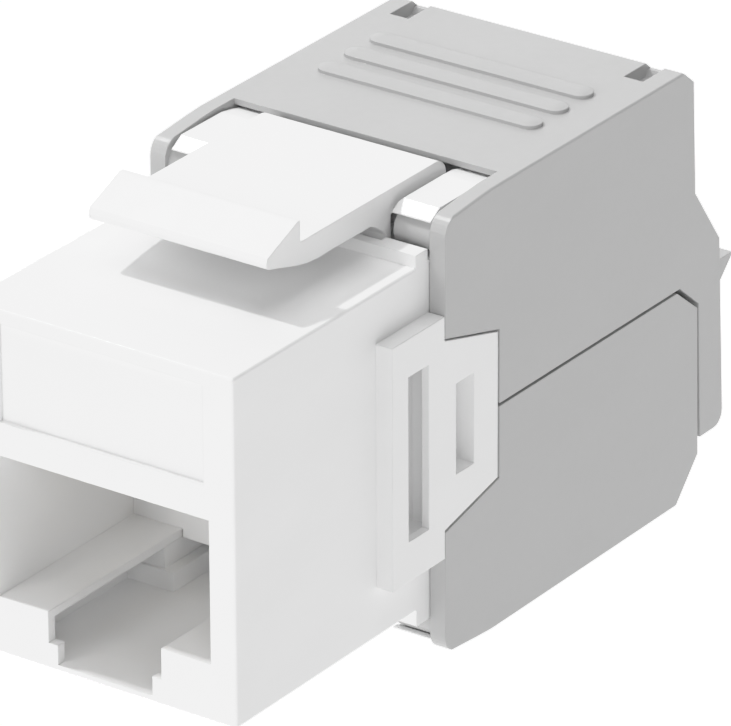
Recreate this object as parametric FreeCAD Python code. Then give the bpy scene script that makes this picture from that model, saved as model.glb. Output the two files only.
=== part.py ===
"""Tool-free keystone jack: nose housing, latch, two hinged covers, contacts, board and wire terminals.

Millimetres.  +X right and +Y rearward as seen from the plug side, +Z up.  Heights in this script
start at the underside of the nose; write() lowers every part so that the origin is the centre of
the port's mouth, on the front face.
"""
import FreeCAD, Part
import math
import os

V = FreeCAD.Vector

# nose and flange of the housing
NOSE_HALF = 7.25
NOSE_H = 17.1
NOSE_EDGE_R = 0.15
FLANGE_Y = 13.9
FLANGE_END = 15.0
FLANGE_RIDGE_END = 14.82
FLANGE_Z = (-0.78, 17.72)
CORE_HALF = 7.0
CORE_END = 20.0
CORE_Z = (0.24, 16.6)
CAVITY_HALF = 5.86
CAVITY_TOP = 15.9
CORE_CAVITY_Z = (1.7, 15.2)

# plug port
PORT_HALF = 5.86
PORT_Z = (2.82, 9.89)
PORT_DEPTH = 10.1
FRONT_WALL = 1.4
LEDGE_T = 0.42
LATCH_SLOT_HALF = (3.13, 2.62)
LATCH_SLOT_Z = (0.3, 1.27)
POCKET_HALF = 5.2
POCKET_END = (8.7, 8.87)
CHANNEL_END = 13.0
LABEL_HALF = 5.6
LABEL_Z = (11.55, 16.4)
LABEL_DEPTH = 0.25

# side stops
WING_X = 8.15
WING_Y = (10.75, 14.85)
WING_Z = (2.53, 14.61)
TAIL_END = 19.08
TAIL_Z_FRONT = (3.95, 13.42)
TAIL_Z_REAR = (4.95, 12.25)
WINDOW_1 = (12.0, 13.6, 4.54, 12.73)
WINDOW_2 = (15.75, 17.17, 6.42, 10.96)
WINDOW_RIM = 0.41
WINDOW_FLOOR = 6.75

# cover hinge
MID_Z = 8.42
HINGE_Y = 15.95
HINGE_Z = 18.0
AXLE_R = 0.85
AXLE_CLEARANCE = 0.07
AXLE_INNER = 5.2
EAR_X = (5.05, 7.15)
EAR_Y = (15.2, 21.2)
EAR_TOP = 19.3
EAR_LIP_Z = 18.8

# keystone latch and fixed hook
LATCH_HALF = 4.85
LATCH_PIVOT = (17.2, 17.6)
KNUCKLE_R = 0.6
KNUCKLE_CLEARANCE = 0.06
HOOK_HALF = 4.0
HOOK_Y = (6.9, 8.4)
HOOK_DROP = 0.9

# covers
COVER_HALF = 8.15
COVER_INNER = 7.3
COVER_TOP = 19.51
COVER_T = 0.9
COVER_FRONT = 14.9
CHEEK_R = 0.9
CHEEK_CREST = 18.38
PLATE_FRONT = 20.27
PLATE_LIP_T = 0.29
PLATE_LIP_END = 21.6
COVER_EDGE_R = 0.12
SPLIT_Z = (8.45, 8.62)
RIB_Y = (25.46, 27.56, 29.62)
RIB_HALF = 6.15
RIB_W = 1.2
RIB_WALL = 0.16
RIB_CROWN = 0.09
OUTLET_R = 3.9
LUG_X = (6.0, 7.6)
LUG_END = 39.53
LUG_TOP = 8.38

# contacts, carrier, board
CONTACT_COUNT = 8
CONTACT_PITCH = 1.02
CONTACT_W = 0.45
CONTACT_T = 0.3
COMB_SLOT_W = 0.62
CARRIER_TOP = 13.25
CARRIER_END = 13.8
BOARD_HALF = 5.6
BOARD_Y = (14.3, 28.5)
BOARD_Z = (7.92, 8.92)
TAIL_Y = 15.2
TAIL_HOLE_R = 0.35

# wire terminals
IDC_X = (-4.2, -1.4, 1.4, 4.2)
IDC_BLOCK_Y = (16.0, 29.0)
IDC_BLOCK_TOP = 14.9
IDC_BLOCK_HALF = 5.75
WIRE_SLOT_W = 0.95
WIRE_SLOT_START = 21.5
WIRE_SLOT_FLOOR = 10.8
UPPER_BLADE_Y = 24.0
LOWER_BLADE_Y = 26.5
BLADE_W = 1.9
BLADE_T = 0.4
BLADE_TOP = 13.9
BLADE_GAP = 0.32
PIN_R = 0.25
PIN_HOLE_R = 0.31

PORT_MID = (PORT_Z[0] + PORT_Z[1]) / 2


def box(x0, x1, y0, y1, z0, z1):
    return Part.makeBox(x1 - x0, y1 - y0, z1 - z0, V(x0, y0, z0))


def prism(points, x0, x1):
    """Side profile of (y, z) corners, extruded from x0 to x1."""
    corners = [V(x0, y, z) for y, z in points]
    face = Part.Face(Part.makePolygon(corners + corners[:1]))
    return face.extrude(V(x1 - x0, 0, 0))


def rod_x(x0, x1, y, z, r):
    return Part.makeCylinder(r, x1 - x0, V(x0, y, z), V(1, 0, 0))


def rod_y(y0, y1, x, z, r):
    return Part.makeCylinder(r, y1 - y0, V(x, y0, z), V(0, 1, 0))


def rod_z(z0, z1, x, y, r):
    return Part.makeCylinder(r, z1 - z0, V(x, y, z0), V(0, 0, 1))


def arc_points(y, z, r, start, end, steps=8):
    """Points on an arc in the side view, angles in degrees from +Y towards +Z."""
    angles = [math.radians(start + (end - start) * i / steps) for i in range(steps + 1)]
    return [(y + r * math.cos(a), z + r * math.sin(a)) for a in angles]


def join(shapes):
    whole = shapes[0]
    if len(shapes) > 1:
        whole = whole.multiFuse(shapes[1:])
    return whole.removeSplitter()


def both_sides(shape):
    """The shape and its mirror image across the jack's middle plane."""
    return [shape, shape.mirror(V(0, 0, 0), V(1, 0, 0))]


def flipped(shape):
    """Mirror image across the level plane half-way between the two covers."""
    return shape.mirror(V(0, 0, MID_Z), V(0, 0, 1))


def soft_box(x0, x1, y0, y1, z0, z1, r):
    """Box with small rounds on its long outer edges and around its front face."""
    body = box(x0, x1, y0, y1, z0, z1)
    edges = []
    for edge in body.Edges:
        middle = edge.CenterOfMass
        if middle.y < y1 - 0.01:
            edges.append(edge)
    return body.makeFillet(r, edges)


# ---------------------------------------------------------------- front housing

def side_stop():
    """Right-hand stop: front plate, tapered tail and its two windows."""
    plate = box(NOSE_HALF - 0.2, WING_X, WING_Y[0], WING_Y[1], WING_Z[0], WING_Z[1])
    front = WING_Y[1] - 0.05
    tail = prism([(front, TAIL_Z_FRONT[0]), (TAIL_END, TAIL_Z_REAR[0]),
                  (TAIL_END, TAIL_Z_REAR[1]), (front, TAIL_Z_FRONT[1])], CORE_HALF - 0.2, WING_X)
    stop = join([plate, tail])
    y0, y1, z0, z1 = WINDOW_1
    stop = stop.cut(box(NOSE_HALF - 0.1, WING_X + 1, y0, y1, z0, z1))
    y0, y1, z0, z1 = WINDOW_2
    return stop.cut(box(CORE_HALF, WING_X + 1, y0, y1, z0, z1))


def window_pocket():
    """Hollow behind the right-hand stop's front window, wider than the window itself."""
    y0, y1, z0, z1 = WINDOW_1
    return box(WINDOW_FLOOR, WING_X - WINDOW_RIM, y0 - 0.3, y1 + 0.7, z0 - 0.2, z1 + 0.2)


def hinge_ear():
    """Right-hand upper ear: hood over the cover's stub axle, open at the front."""
    x0, x1 = EAR_X
    y0, y1 = EAR_Y
    profile = [(y0, CORE_Z[1] - 0.3), (CORE_END, CORE_Z[1] - 0.3), (CORE_END, 17.7), (y1, 18.45),
               (y1, EAR_TOP - 0.37), (20.5, EAR_TOP - 0.27), (19.8, EAR_TOP - 0.12), (19.05, EAR_TOP),
               (y0 + 0.75, EAR_TOP), (y0, EAR_LIP_Z + 0.05)]
    ear = prism(profile, x0, x1)
    low = V(x0 - 0.1, y0 - 1, EAR_TOP - 0.25)
    high = V(x0 - 0.1, y0 - 1, EAR_TOP + 0.1)
    inner = V(x0 + 0.25, y0 - 1, EAR_TOP + 0.1)
    bevel = Part.Face(Part.makePolygon([low, high, inner, low]))
    ear = ear.cut(bevel.extrude(V(0, y1 - y0 + 2, 0)))
    bore_r = AXLE_R + AXLE_CLEARANCE
    ear = ear.cut(rod_x(x0 - 0.1, x1 + 0.1, HINGE_Y, HINGE_Z, bore_r))
    return ear.cut(box(x0 - 0.1, x1 + 0.1, y0 - 1, HINGE_Y, HINGE_Z - bore_r, EAR_LIP_Z))


def latch_seat():
    """Half-round seat that the latch's root turns in."""
    y, z = LATCH_PIVOT
    block = box(-LATCH_HALF, LATCH_HALF, y - 0.95, y + 0.95, CORE_Z[1] - 0.3, z)
    return block.cut(rod_x(-LATCH_HALF - 1, LATCH_HALF + 1, y, z, KNUCKLE_R + KNUCKLE_CLEARANCE))


def fixed_hook():
    """Ramp under the nose that catches the lower edge of the panel opening."""
    y0, y1 = HOOK_Y
    return prism([(y0, 0.2), (y0, 0.0), (y1 - 0.35, -HOOK_DROP), (y1, -HOOK_DROP), (y1, 0.2)],
                 -HOOK_HALF, HOOK_HALF)


def port_cuts():
    """Everything removed for the plug and for the plug's own latch."""
    upper_half, lower_half = LATCH_SLOT_HALF
    floor, step = LATCH_SLOT_Z
    ledge_under = PORT_Z[0] - LEDGE_T
    return [
        box(-PORT_HALF, PORT_HALF, -1, FRONT_WALL + 0.1, PORT_Z[0], PORT_Z[1]),
        box(-CAVITY_HALF, CAVITY_HALF, FRONT_WALL, FLANGE_END, PORT_Z[0], CAVITY_TOP),
        box(-upper_half, upper_half, -1, CHANNEL_END, step, PORT_Z[0] + 0.1),
        box(-lower_half, lower_half, -1, CHANNEL_END, floor, step + 0.1),
        box(-POCKET_HALF, POCKET_HALF, 0.5, POCKET_END[0], floor, step + 0.1),
        box(-POCKET_HALF, POCKET_HALF, 0.5, POCKET_END[1], step, ledge_under),
        box(-upper_half - 0.08, upper_half + 0.08, POCKET_END[1], CHANNEL_END, step, ledge_under),
        box(-LABEL_HALF, LABEL_HALF, -1, LABEL_DEPTH, LABEL_Z[0], LABEL_Z[1]),
    ]


def front_housing():
    nose = soft_box(-NOSE_HALF, NOSE_HALF, 0, FLANGE_Y + 0.5, 0, NOSE_H, NOSE_EDGE_R)
    flange = box(-NOSE_HALF, NOSE_HALF, FLANGE_Y, FLANGE_END, 0, NOSE_H)
    ridges = [box(-NOSE_HALF, NOSE_HALF, FLANGE_Y, FLANGE_END, FLANGE_Z[0], 0.1),
              box(-NOSE_HALF, NOSE_HALF, FLANGE_Y, FLANGE_RIDGE_END, NOSE_H - 0.1, FLANGE_Z[1])]
    core = box(-CORE_HALF, CORE_HALF, FLANGE_END - 0.5, CORE_END, CORE_Z[0], CORE_Z[1])
    solids = [nose, flange, core, fixed_hook(), latch_seat()]
    solids += ridges
    solids += both_sides(side_stop())
    solids += both_sides(hinge_ear())
    solids += both_sides(flipped(hinge_ear()))
    body = join(solids)
    cuts = port_cuts()
    cuts += both_sides(window_pocket())
    cuts.append(box(-CAVITY_HALF, CAVITY_HALF, CHANNEL_END + 1, CORE_END + 1,
                    CORE_CAVITY_Z[0], CORE_CAVITY_Z[1]))
    ridge_end = FLANGE_RIDGE_END + 0.01
    cuts.append(prism([(ridge_end - 0.4, FLANGE_Z[1] + 0.01), (ridge_end, FLANGE_Z[1] - 0.39),
                       (ridge_end, FLANGE_Z[1] + 0.01)], -LATCH_HALF - 0.15, LATCH_HALF + 0.15))
    for cut in cuts:
        body = body.cut(cut)
    return body.removeSplitter()


# ---------------------------------------------------------------- keystone latch

def keystone_latch():
    """Thumb tab, catch tooth, arm, stop foot and the knuckle that stands in for the bending root."""
    y, z = LATCH_PIVOT
    profile = arc_points(6.17, 19.63, 0.27, 250, 165, 4)
    profile += [(6.0, 19.95), (8.25, 20.87), (8.45, 20.87), (8.45, 19.83)]
    profile += arc_points(18.95, 19.03, 0.8, 90, 0)
    profile += [(19.75, 18.75), (19.6, 18.6), (y + 0.8, 18.6), (y + 0.45, 18.25), (y + 0.45, z)]
    profile += [(y - 0.45, z), (y - 0.45, 18.25), (y - 0.8, 18.6), (15.4, 18.6), (15.4, 17.3)]
    profile += [(15.08, 17.3), (15.04, 17.7), (14.85, 17.95), (14.5, 18.2), (14.2, 18.4), (13.8, 18.56)]
    profile += [(11.0, 18.58), (9.8, 18.56), (9.0, 18.62), (8.3, 18.76), (7.6, 18.95), (6.9, 19.16)]
    arm = prism(profile, -LATCH_HALF, LATCH_HALF)
    return join([arm, rod_x(-LATCH_HALF, LATCH_HALF, y, z, KNUCKLE_R)])


# ---------------------------------------------------------------- covers

def cheek_points():
    """Front top corner of the upper cover's side: tight round, then a faint rise to the plate."""
    corner = arc_points(COVER_FRONT + CHEEK_R, CHEEK_CREST, CHEEK_R, 180, 102, 6)
    return corner + [(17.67, COVER_TOP - 0.07), (18.7, COVER_TOP)]


def filleted_sides(body):
    """Small rounds where a cover's side faces meet its top, bottom and rear faces."""
    edges = []
    for edge in body.Edges:
        middle = edge.CenterOfMass
        on_side = abs(abs(middle.x) - COVER_HALF) < 1e-6
        if on_side and (middle.z > COVER_TOP - 0.01 or middle.z < 2 * MID_Z - COVER_TOP + 0.01):
            edges.append(edge)
    return body.makeFillet(COVER_EDGE_R, edges)


def stuffer():
    """Ribs under the cover plate that push the wires into the terminals."""
    top = COVER_TOP - COVER_T + 0.1
    ribs = [box(x - 0.35, x + 0.35, 22.3, 28.7, 14.2, top) for x in IDC_X]
    ribs += [box(-5.6, 5.6, y, y + 0.8, 15.3, top) for y in (22.8, 27.4)]
    return ribs


def stub_axle():
    """Right-hand stub axle of the upper cover."""
    return rod_x(AXLE_INNER, COVER_INNER + 0.3, HINGE_Y, HINGE_Z, AXLE_R)


def grip_rib(y):
    """One raised rib on the cover plate: low upright wall, round ends and a faintly crowned top."""
    half = RIB_W / 2
    ends = RIB_HALF - half
    low = COVER_TOP - 0.05
    high = COVER_TOP + RIB_WALL + RIB_CROWN
    bar = join([box(-ends, ends, y - half, y + half, low, high), rod_z(low, high, -ends, y, half),
                rod_z(low, high, ends, y, half)])
    crown_r = (half ** 2 + RIB_CROWN ** 2) / (2 * RIB_CROWN)
    z = high - crown_r
    balls = [Part.makeSphere(crown_r, V(x, y, z)) for x in (-ends, ends)]
    return bar.common(join([rod_x(-ends, ends, y, z, crown_r)] + balls))


def rear_notch():
    """Right-hand pocket in the rear edge of the cover plate, closed behind by a lower, leaning wall."""
    return prism([(32.45, COVER_TOP + 1), (32.45, COVER_TOP - 0.66), (34.27, COVER_TOP - 0.66),
                  (34.49, COVER_TOP - 0.34), (36.0, COVER_TOP - 0.34), (36.0, COVER_TOP + 1)], 6.05, 7.1)


def tie_lug():
    """Right-hand lug on the rear wall, for a cable tie."""
    y1 = LUG_END
    reach = 2.7
    return prism([(y1 - reach, LUG_TOP), (y1, LUG_TOP), (y1, LUG_TOP - 0.1),
                  (y1 - reach, LUG_TOP - 0.1 - reach)], LUG_X[0], LUG_X[1])


def upper_cover():
    profile = [(COVER_FRONT, 13.5)] + cheek_points()
    profile += [(34.3, COVER_TOP), (35.15, 18.8), (35.4, 13.05), (37.54, 9.97), (37.98, 0.95)]
    profile += arc_points(37.28, 0.9, 0.7, 0, -90, 5)[1:]
    profile += [(36.07, 0.2), (35.82, 7.25), (34.18, SPLIT_Z[1]), (19.23, SPLIT_Z[1]), (19.23, 12.33)]
    shell = filleted_sides(prism(profile, -COVER_HALF, COVER_HALF))
    under = COVER_TOP - COVER_T
    lip_under = COVER_TOP - PLATE_LIP_T
    hollow = prism([(10, 25), (PLATE_FRONT, 25), (PLATE_FRONT, lip_under), (PLATE_LIP_END, lip_under),
                    (PLATE_LIP_END, under), (34.0, under), (34.28, 18.35), (34.5, 12.7), (36.68, 9.4),
                    (37.08, -5), (10, -5)], -COVER_INNER, COVER_INNER)
    shell = shell.cut(hollow)
    additions = stuffer() + both_sides(stub_axle()) + both_sides(tie_lug())
    additions += [grip_rib(y) for y in RIB_Y]
    body = join([shell] + additions)
    body = body.cut(rod_y(30, 41, 0, MID_Z, OUTLET_R))
    body = body.cut(box(-OUTLET_R, OUTLET_R, 30, 41, -5, MID_Z))
    for notch in both_sides(rear_notch()):
        body = body.cut(notch)
    return body.removeSplitter()


def lower_cover():
    bottom = 2 * MID_Z - COVER_TOP
    profile = [(COVER_FRONT, 3.8)] + [(y, 2 * MID_Z - z) for y, z in cheek_points()]
    profile += [(34.0, bottom), (35.89, -0.6), (35.69, 7.06), (33.95, SPLIT_Z[0]), (19.23, SPLIT_Z[0]),
                (19.23, 4.83)]
    shell = filleted_sides(prism(profile, -COVER_HALF, COVER_HALF))
    over = bottom + COVER_T
    lip_over = bottom + PLATE_LIP_T
    hollow = prism([(10, -10), (PLATE_FRONT, -10), (PLATE_FRONT, lip_over), (PLATE_LIP_END, lip_over),
                    (PLATE_LIP_END, over), (33.6, over), (34.95, -0.27), (34.95, 20), (10, 20)],
                   -COVER_INNER, COVER_INNER)
    shell = shell.cut(hollow)
    additions = [flipped(rib) for rib in stuffer()] + [flipped(axle) for axle in both_sides(stub_axle())]
    body = join([shell] + additions)
    body = body.cut(rod_y(30, 41, 0, MID_Z, OUTLET_R))
    body = body.cut(box(-OUTLET_R, OUTLET_R, 30, 41, MID_Z, 20))
    return body.removeSplitter()


# ---------------------------------------------------------------- contacts and carrier

def contact_x(index):
    return (index - (CONTACT_COUNT - 1) / 2) * CONTACT_PITCH


def ribbon(points, x, width, thickness):
    """Bent strip through side-view points, with round bends and ends."""
    pieces = []
    for (y0, z0), (y1, z1) in zip(points, points[1:]):
        length = math.hypot(y1 - y0, z1 - z0)
        ny = -(z1 - z0) / length * thickness / 2
        nz = (y1 - y0) / length * thickness / 2
        corners = [(y0 + ny, z0 + nz), (y1 + ny, z1 + nz), (y1 - ny, z1 - nz), (y0 - ny, z0 - nz)]
        pieces.append(prism(corners, x - width / 2, x + width / 2))
    for y, z in points[1:]:
        pieces.append(rod_x(x - width / 2, x + width / 2, y, z, thickness / 2))
    return join(pieces)


def spring_contact(index):
    """Contact strip from the board, along the carrier's top and back down into the port."""
    top = CARRIER_TOP + CONTACT_T / 2
    path = [(TAIL_Y, BOARD_Z[0]), (TAIL_Y, top - 0.3), (TAIL_Y - 0.3, top), (3.1, top), (2.6, top - 0.2),
            (2.4, top - 0.7), (2.4, 11.4), (2.6, 11.05), (9.2, 7.9)]
    return ribbon(path, contact_x(index), CONTACT_W, CONTACT_T)


def contact_carrier():
    """Comb over the port and the wall at the port's back."""
    comb = box(-CAVITY_HALF, CAVITY_HALF, FRONT_WALL, CARRIER_END, PORT_Z[1] + 0.05, CARRIER_TOP)
    wall = box(-CAVITY_HALF, CAVITY_HALF, PORT_DEPTH, CARRIER_END, PORT_Z[0], PORT_Z[1] + 0.1)
    sill = box(-LATCH_SLOT_HALF[0] + 0.05, LATCH_SLOT_HALF[0] - 0.05, PORT_DEPTH, CHANNEL_END - 0.1,
               PORT_Z[0] - LEDGE_T, PORT_Z[0] + 0.1)
    body = join([comb, wall, sill])
    for index in range(CONTACT_COUNT):
        x = contact_x(index)
        half = COMB_SLOT_W / 2
        body = body.cut(box(x - half, x + half, 2.0, 8.6, PORT_Z[1] - 1, CARRIER_TOP + 1))
    return body.removeSplitter()


def circuit_board():
    board = box(-BOARD_HALF, BOARD_HALF, BOARD_Y[0], BOARD_Y[1], BOARD_Z[0], BOARD_Z[1])
    z0 = BOARD_Z[0] - 1
    z1 = BOARD_Z[1] + 1
    holes = [rod_z(z0, z1, contact_x(i), TAIL_Y, TAIL_HOLE_R) for i in range(CONTACT_COUNT)]
    for x in IDC_X:
        holes.append(rod_z(z0, z1, x, UPPER_BLADE_Y, PIN_HOLE_R))
        holes.append(rod_z(z0, z1, x, LOWER_BLADE_Y, PIN_HOLE_R))
    for hole in holes:
        board = board.cut(hole)
    return board


# ---------------------------------------------------------------- wire terminals

def idc_block(blade_y):
    """Upper terminal block: four wire slots open to the top and rear, each with a blade pocket."""
    y0, y1 = IDC_BLOCK_Y
    z0 = BOARD_Z[1]
    root = box(-CAVITY_HALF, CAVITY_HALF, y0, CORE_END, z0, IDC_BLOCK_TOP)
    towers = box(-IDC_BLOCK_HALF, IDC_BLOCK_HALF, CORE_END - 0.5, y1, z0, IDC_BLOCK_TOP)
    body = join([root, towers])
    half = WIRE_SLOT_W / 2
    for x in IDC_X:
        body = body.cut(box(x - half, x + half, WIRE_SLOT_START, y1 + 1, WIRE_SLOT_FLOOR, IDC_BLOCK_TOP + 1))
        body = body.cut(box(x - BLADE_W / 2 - 0.05, x + BLADE_W / 2 + 0.05, blade_y - 0.28, blade_y + 0.28,
                            z0 - 1, BLADE_TOP + 0.15))
    for x in (-2.8, 0.0, 2.8):
        body = body.cut(box(x - 0.3, x + 0.3, WIRE_SLOT_START, y1 + 1, 12.6, IDC_BLOCK_TOP + 1))
    return body.removeSplitter()


def idc_terminal(x, y):
    """Upper forked blade with its round pin into the board."""
    blade = box(x - BLADE_W / 2, x + BLADE_W / 2, y - BLADE_T / 2, y + BLADE_T / 2, BOARD_Z[1], BLADE_TOP)
    gap = BLADE_GAP / 2
    fork = Part.Face(Part.makePolygon([V(x - gap, y - 1, 10.9), V(x + gap, y - 1, 10.9),
                                       V(x + gap, y - 1, BLADE_TOP - 0.55),
                                       V(x + 0.55, y - 1, BLADE_TOP + 0.1),
                                       V(x - 0.55, y - 1, BLADE_TOP + 0.1),
                                       V(x - gap, y - 1, BLADE_TOP - 0.55), V(x - gap, y - 1, 10.9)]))
    blade = blade.cut(fork.extrude(V(0, 2, 0)))
    return join([blade, rod_z(BOARD_Z[0] + 0.03, BOARD_Z[1] + 0.1, x, y, PIN_R)])


# ---------------------------------------------------------------- output

def write(name, shape):
    placed = shape.copy()
    placed.translate(V(0, 0, -PORT_MID))
    placed.exportStep("parts/" + name + ".step")


os.makedirs("parts", exist_ok=True)
write("front_housing", front_housing())
write("keystone_latch", keystone_latch())
write("upper_cover", upper_cover())
write("lower_cover", lower_cover())
write("contact_carrier", contact_carrier())
write("circuit_board", circuit_board())
write("idc_block_upper", idc_block(UPPER_BLADE_Y))
write("idc_block_lower", flipped(idc_block(LOWER_BLADE_Y)))
for number in range(CONTACT_COUNT):
    write("spring_contact_" + str(number + 1), spring_contact(number))
for number, x_pos in enumerate(IDC_X):
    write("idc_terminal_" + str(number + 1), idc_terminal(x_pos, UPPER_BLADE_Y))
    write("idc_terminal_" + str(number + 5), flipped(idc_terminal(x_pos, LOWER_BLADE_Y)))
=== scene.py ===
"""Looks of the tool-free keystone jack: its moulded, plated and printed finishes, floor, light, camera.

Metres, in the part's own frame: the origin is the centre of the port's mouth, +Y is rearward, +Z up.
"""

import math

import bpy
from mathutils import Matrix, Vector


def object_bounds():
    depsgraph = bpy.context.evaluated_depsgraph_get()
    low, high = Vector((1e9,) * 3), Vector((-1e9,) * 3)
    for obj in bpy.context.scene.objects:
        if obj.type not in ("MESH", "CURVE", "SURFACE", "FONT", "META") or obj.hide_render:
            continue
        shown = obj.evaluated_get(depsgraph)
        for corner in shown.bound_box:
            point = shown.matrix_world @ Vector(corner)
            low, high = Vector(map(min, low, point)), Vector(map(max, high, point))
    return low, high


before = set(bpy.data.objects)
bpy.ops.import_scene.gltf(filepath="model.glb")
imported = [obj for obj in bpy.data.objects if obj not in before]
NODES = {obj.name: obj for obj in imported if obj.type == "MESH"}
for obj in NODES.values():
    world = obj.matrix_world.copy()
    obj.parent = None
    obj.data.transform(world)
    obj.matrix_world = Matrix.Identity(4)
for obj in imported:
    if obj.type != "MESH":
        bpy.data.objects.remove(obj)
cad_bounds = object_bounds()

MM = 0.001

CAMERA_AT = Vector((0.19796, -0.26011, 0.16414))
CAMERA_AZIMUTH = 35.226
CAMERA_ELEVATION = 25.330
CAMERA_ROLL = -0.325
CAMERA_LENS = 406.73
SENSOR_WIDTH = 36.0
CLIP_START = 0.01

FLOOR_HALF = 2.5
FLOOR_DROP = 16.0 * MM  # room for the lower cover when it hangs open
FLOOR_GREY = 0.1
FLOOR_GLOW = 1.14
SKY_STRENGTH = 0.06

WHITE_POINT = 1.22  # brightest light that the tone curve takes in
TONES = [(0.08, 0.1), (0.2, 0.26), (0.3, 0.365), (0.4, 0.445), (0.5, 0.54), (0.6, 0.64), (0.7, 0.72),
         (0.8, 0.79), (0.9, 0.86), (1.0, 0.89), (1.14, 0.915), (1.19, 0.945)]
ALL_CHANNELS = 3  # the curve that bends red, green and blue together

NOISE_LOW, NOISE_HIGH = 0.3, 0.7  # the stretch of a noise pattern that the finishes use

PLASTIC_IOR = 1.47
FLOW_SIZE = 3.2 * MM
FLOW_STRETCH = (1.0, 0.45, 1.0)
GLOSS_PATCH_SIZE = 0.45 * MM
GRAIN_SIZE = 0.07 * MM
SINK_SIZE = 1.6 * MM  # shallow waves of the moulded faces
SINK_OVER_GRAIN = 2.5
TRACKS_SCALE = 0.32 / MM
TRACKS_STRETCH = (1.0, 0.18, 0.2)
TRACKS_HEIGHT = 0.02 * MM
PLATING_CLOUD_SIZE = 0.5 * MM
DRAWN_LINE_SIZE = 0.035 * MM

CONTACTS = [name for name in NODES if name.startswith("spring_contact_")]
TERMINALS = [name for name in NODES if name.startswith("idc_terminal_")]


# ---------------------------------------------------------------- node-building helpers

class Finish:
    """One procedural material: a Principled shader with noise-driven colour, gloss and relief."""

    def __init__(self, name):
        self.material = bpy.data.materials.new(name)
        self.material.use_nodes = True
        self.tree = self.material.node_tree
        self.shader = self.tree.nodes["Principled BSDF"]
        self.place = self.node("ShaderNodeTexCoord").outputs["Object"]
        self.normal = None

    def node(self, kind, **settings):
        made = self.tree.nodes.new(kind)
        for key, value in settings.items():
            setattr(made, key, value)
        return made

    def link(self, source, target):
        self.tree.links.new(source, target)

    def stretched(self, scale):
        """The object coordinates, scaled apart along each axis."""
        mapping = self.node("ShaderNodeMapping")
        mapping.inputs["Scale"].default_value = scale
        self.link(self.place, mapping.inputs["Vector"])
        return mapping.outputs["Vector"]

    def noise(self, size, detail=2.0, place=None):
        """Noise whose blotches are about size metres across."""
        made = self.node("ShaderNodeTexNoise")
        made.inputs["Scale"].default_value = 1.0 / size
        made.inputs["Detail"].default_value = detail
        self.link(place or self.place, made.inputs["Vector"])
        return made.outputs["Fac"]

    def ramp(self, factor, low, high, start=NOISE_LOW, end=NOISE_HIGH):
        """The factor from start to end, mapped to the colours low to high."""
        made = self.node("ShaderNodeValToRGB")
        made.color_ramp.elements[0].position = start
        made.color_ramp.elements[1].position = end
        made.color_ramp.elements[0].color = (*low, 1.0)
        made.color_ramp.elements[1].color = (*high, 1.0)
        self.link(factor, made.inputs["Fac"])
        return made.outputs["Color"]

    def spread(self, factor, low, high):
        """The factor over the noise's range, mapped to the numbers low to high."""
        made = self.node("ShaderNodeMapRange")
        made.inputs["From Min"].default_value = NOISE_LOW
        made.inputs["From Max"].default_value = NOISE_HIGH
        made.inputs["To Min"].default_value = low
        made.inputs["To Max"].default_value = high
        self.link(factor, made.inputs["Value"])
        return made.outputs["Result"]

    def soft_edges(self, radius):
        """Shading normals that turn over the last radius metres before an edge."""
        made = self.node("ShaderNodeBevel", samples=6)
        made.inputs["Radius"].default_value = radius
        self.normal = made.outputs["Normal"]

    def relief(self, height, depth, strength=1.0):
        """Adds bump from a height factor, depth metres deep."""
        made = self.node("ShaderNodeBump")
        made.inputs["Distance"].default_value = depth
        made.inputs["Strength"].default_value = strength
        self.link(height, made.inputs["Height"])
        if self.normal:
            self.link(self.normal, made.inputs["Normal"])
        self.normal = made.outputs["Normal"]

    def done(self, colour=None, roughness=None):
        if colour:
            self.link(colour, self.shader.inputs["Base Color"])
        if roughness:
            self.link(roughness, self.shader.inputs["Roughness"])
        if self.normal:
            self.link(self.normal, self.shader.inputs["Normal"])
        return self.material


def grey(value):
    """A neutral grey of that linear value."""
    return (value, value, value)


# ---------------------------------------------------------------- materials

def moulded_plastic(name, value, gloss, edge=0.09 * MM, grain=0.0012 * MM, clear=0.04):
    """Injection-moulded plastic: faint flow mottling, fine tool grain, slightly uneven gloss."""
    finish = Finish(name)
    finish.shader.inputs["IOR"].default_value = PLASTIC_IOR
    finish.shader.inputs["Subsurface Weight"].default_value = clear
    finish.shader.inputs["Subsurface Radius"].default_value = (0.5, 0.5, 0.5)
    finish.shader.inputs["Subsurface Scale"].default_value = 0.4 * MM
    flow = finish.noise(FLOW_SIZE, detail=3.0, place=finish.stretched(FLOW_STRETCH))
    colour = finish.ramp(flow, grey(value * 0.985), grey(value * 1.01))
    patches = finish.noise(GLOSS_PATCH_SIZE, detail=3.0)
    roughness = finish.spread(patches, gloss - 0.04, gloss + 0.05)
    finish.soft_edges(edge)
    finish.relief(finish.noise(GRAIN_SIZE), grain)
    finish.relief(finish.noise(SINK_SIZE, detail=1.0), grain * SINK_OVER_GRAIN)
    return finish.done(colour, roughness)


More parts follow.
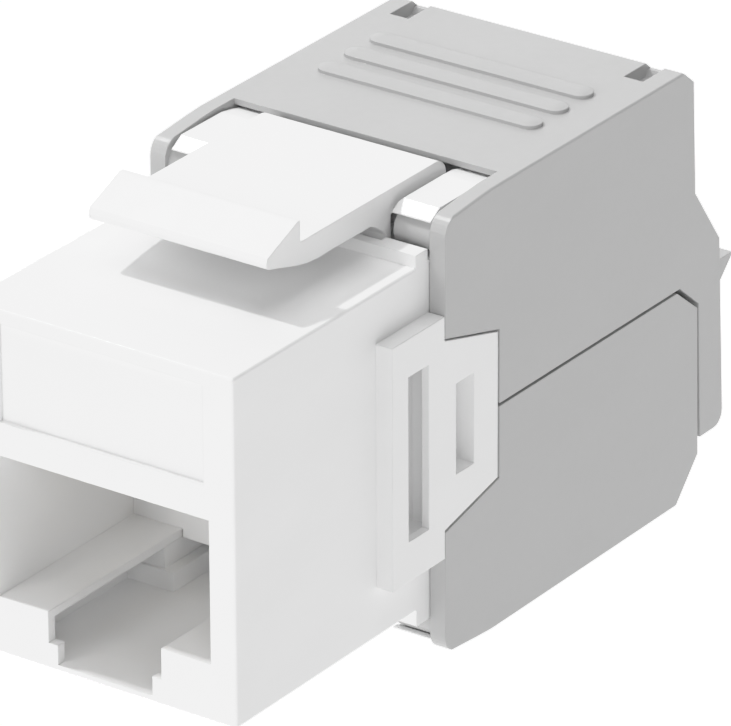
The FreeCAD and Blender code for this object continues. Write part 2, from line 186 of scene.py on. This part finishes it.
def solder_mask_board():
    """Printed board: green mask over brighter copper tracks that run along the board."""
    finish = Finish("board_green")
    finish.shader.inputs["Coat Weight"].default_value = 0.6
    finish.shader.inputs["Coat Roughness"].default_value = 0.12
    tracks = finish.node("ShaderNodeTexWave", wave_type="BANDS", bands_direction="X", wave_profile="SIN")
    tracks.inputs["Scale"].default_value = TRACKS_SCALE
    tracks.inputs["Distortion"].default_value = 3.0
    tracks.inputs["Detail"].default_value = 0.0
    tracks.inputs["Detail Scale"].default_value = 0.15
    finish.link(finish.stretched(TRACKS_STRETCH), tracks.inputs["Vector"])
    mask, copper = (0.008, 0.085, 0.032), (0.03, 0.19, 0.075)
    colour = finish.ramp(tracks.outputs["Fac"], mask, copper, start=0.52, end=0.58)
    roughness = finish.spread(finish.noise(0.3 * MM), 0.28, 0.4)
    finish.relief(tracks.outputs["Fac"], TRACKS_HEIGHT, strength=0.5)
    finish.relief(finish.noise(0.05 * MM), 0.001 * MM)
    return finish.done(colour, roughness)


def plated_metal(name, dark, light, gloss, grain_along):
    """Plated strip: fine drawn lines along one axis and slightly cloudy plating."""
    finish = Finish(name)
    finish.shader.inputs["Metallic"].default_value = 1.0
    colour = finish.ramp(finish.noise(PLATING_CLOUD_SIZE, detail=3.0), dark, light)
    lines = finish.noise(DRAWN_LINE_SIZE, place=finish.stretched(grain_along))
    roughness = finish.spread(lines, gloss - 0.05, gloss + 0.08)
    finish.soft_edges(0.03 * MM)
    finish.relief(lines, 0.0015 * MM)
    return finish.done(colour, roughness)


def dress(names, material):
    for name in names:
        slots = NODES[name].data.materials
        slots.clear()
        slots.append(material)


def dress_all():
    dress(["front_housing"], moulded_plastic("housing_white", 0.88, 0.36))
    dress(["keystone_latch"], moulded_plastic("latch_white", 0.89, 0.33, clear=0.06))
    dress(["upper_cover", "lower_cover"],
          moulded_plastic("cover_grey", 0.47, 0.4, edge=0.05 * MM, grain=0.0016 * MM))
    dress(["contact_carrier"], moulded_plastic("carrier_white", 0.87, 0.4))
    dress(["idc_block_upper", "idc_block_lower"], moulded_plastic("idc_white", 0.82, 0.4, clear=0.06))
    dress(["circuit_board"], solder_mask_board())
    dress(CONTACTS, plated_metal("contact_gold", dark=(0.84, 0.72, 0.5), light=(0.92, 0.81, 0.6),
                                 gloss=0.22, grain_along=(1.0, 0.1, 0.1)))
    dress(TERMINALS, plated_metal("terminal_tin", dark=(0.6, 0.59, 0.57), light=(0.74, 0.73, 0.7),
                                  gloss=0.3, grain_along=(1.0, 1.0, 0.08)))


# ---------------------------------------------------------------- floor, light, camera

def add_floor():
    low = cad_bounds[0][2] - FLOOR_DROP
    mesh = bpy.data.meshes.new("floor")
    corners = [(-FLOOR_HALF, -FLOOR_HALF, low), (FLOOR_HALF, -FLOOR_HALF, low),
               (FLOOR_HALF, FLOOR_HALF, low), (-FLOOR_HALF, FLOOR_HALF, low)]
    mesh.from_pydata(corners, [], [(0, 1, 2, 3)])
    floor = bpy.data.objects.new("floor", mesh)
    bpy.context.scene.collection.objects.link(floor)
    finish = Finish("floor_pale")
    finish.shader.inputs["Base Color"].default_value = (*grey(FLOOR_GREY), 1.0)
    finish.shader.inputs["Roughness"].default_value = 0.9
    finish.shader.inputs["Specular IOR Level"].default_value = 0.1
    finish.shader.inputs["Emission Color"].default_value = (1.0, 1.0, 1.0, 1.0)
    finish.shader.inputs["Emission Strength"].default_value = FLOOR_GLOW
    mesh.materials.append(finish.done())


def add_softbox(name, towards, distance, size, watts):
    """Square area light in the given direction, which looks at the middle of the jack."""
    middle = (Vector(cad_bounds[0]) + Vector(cad_bounds[1])) / 2
    data = bpy.data.lights.new(name, "AREA")
    data.size = size
    data.energy = watts
    light = bpy.data.objects.new(name, data)
    light.location = middle + Vector(towards).normalized() * distance
    light.rotation_euler = Vector(towards).to_track_quat("Z", "Y").to_euler()
    bpy.context.scene.collection.objects.link(light)


def add_light():
    world = bpy.data.worlds.new("studio")
    world.use_nodes = True
    sky = world.node_tree.nodes["Background"]
    sky.inputs["Color"].default_value = (1.0, 1.0, 1.0, 1.0)
    sky.inputs["Strength"].default_value = SKY_STRENGTH
    bpy.context.scene.world = world
    add_softbox("key", (-0.655, -0.06, 1.0), distance=0.7, size=0.03, watts=2.25)
    add_softbox("front", (-0.25, -1.0, 0.32), distance=0.8, size=0.3, watts=1.95)
    add_softbox("fill", (0.54, -0.71, 0.45), distance=0.8, size=0.4, watts=1.1)
    add_softbox("overhead", (0.0, 0.0, 1.0), distance=1.0, size=0.9, watts=5.4)
    add_softbox("back", (-0.52, 0.74, 0.43), distance=1.0, size=0.9, watts=3.0)


def develop():
    """Tone curve: a soft shoulder for the whites and slightly lifted shadows."""
    view = bpy.context.scene.view_settings
    view.view_transform = "Standard"
    view.use_curve_mapping = True
    mapping = view.curve_mapping
    mapping.white_level = (WHITE_POINT, WHITE_POINT, WHITE_POINT)
    for light, shown in TONES:
        mapping.curves[ALL_CHANNELS].points.new(light / WHITE_POINT, shown)
    mapping.update()


def add_camera():
    data = bpy.data.cameras.new("camera")
    data.sensor_width = SENSOR_WIDTH
    data.lens = CAMERA_LENS
    data.clip_start = CLIP_START
    camera = bpy.data.objects.new("camera", data)
    turn = Matrix.Rotation(math.radians(CAMERA_AZIMUTH), 4, "Z")
    tilt = Matrix.Rotation(math.radians(90.0 - CAMERA_ELEVATION), 4, "X")
    roll = Matrix.Rotation(math.radians(CAMERA_ROLL), 4, "Z")
    camera.matrix_world = Matrix.Translation(CAMERA_AT) @ turn @ tilt @ roll
    bpy.context.scene.collection.objects.link(camera)
    bpy.context.scene.camera = camera


dress_all()
add_floor()
add_light()
develop()
add_camera()
